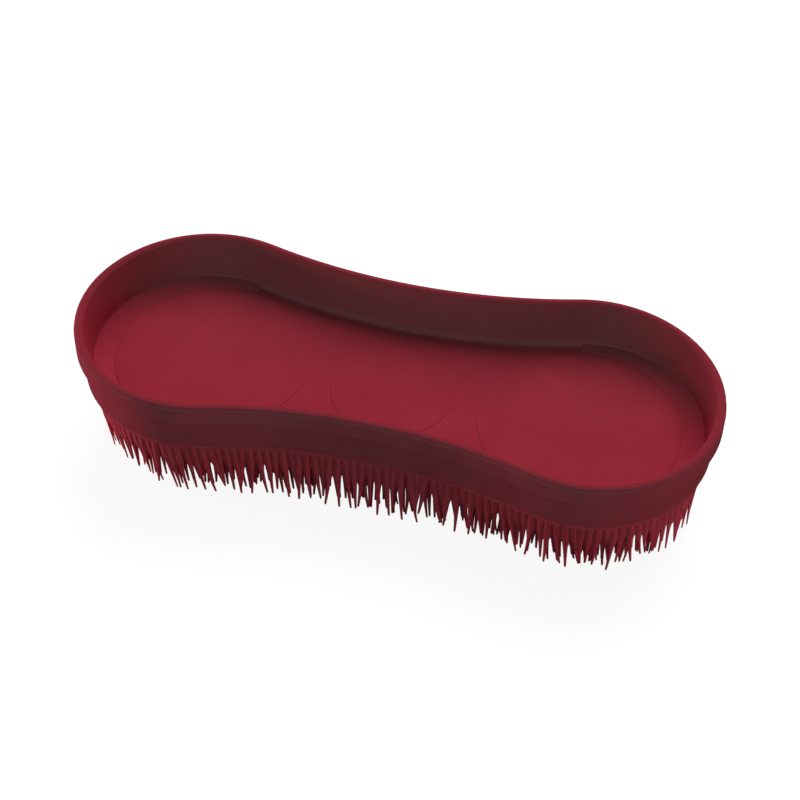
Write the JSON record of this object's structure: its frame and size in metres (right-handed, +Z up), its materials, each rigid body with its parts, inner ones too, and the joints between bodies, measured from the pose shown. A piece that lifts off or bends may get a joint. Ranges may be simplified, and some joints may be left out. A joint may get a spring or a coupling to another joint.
{
  "type": "grooming brush",
  "caption": "Two-lobed hand brush for grooming horses: a moulded tray with a rim band, and a mat of pointed plastic bristles glued under its floor.",
  "frame": {"origin": "on the ground that the bristle tips stand on, under the middle of the tray", "axes": "+X along the brush, +Y across it, +Z up from the bristle tips to the rim"},
  "size_m": [0.18, 0.0712, 0.037],
  "materials": {
    "tray": "satin moulded polypropylene",
    "glue": "cured hot-melt glue",
    "bristles": "satin moulded polyethylene"
  },
  "bodies": {
    "root": {"tray": "tray", "glue": "glue", "bristle_mat": "bristles"}
  },
  "joints": []
}
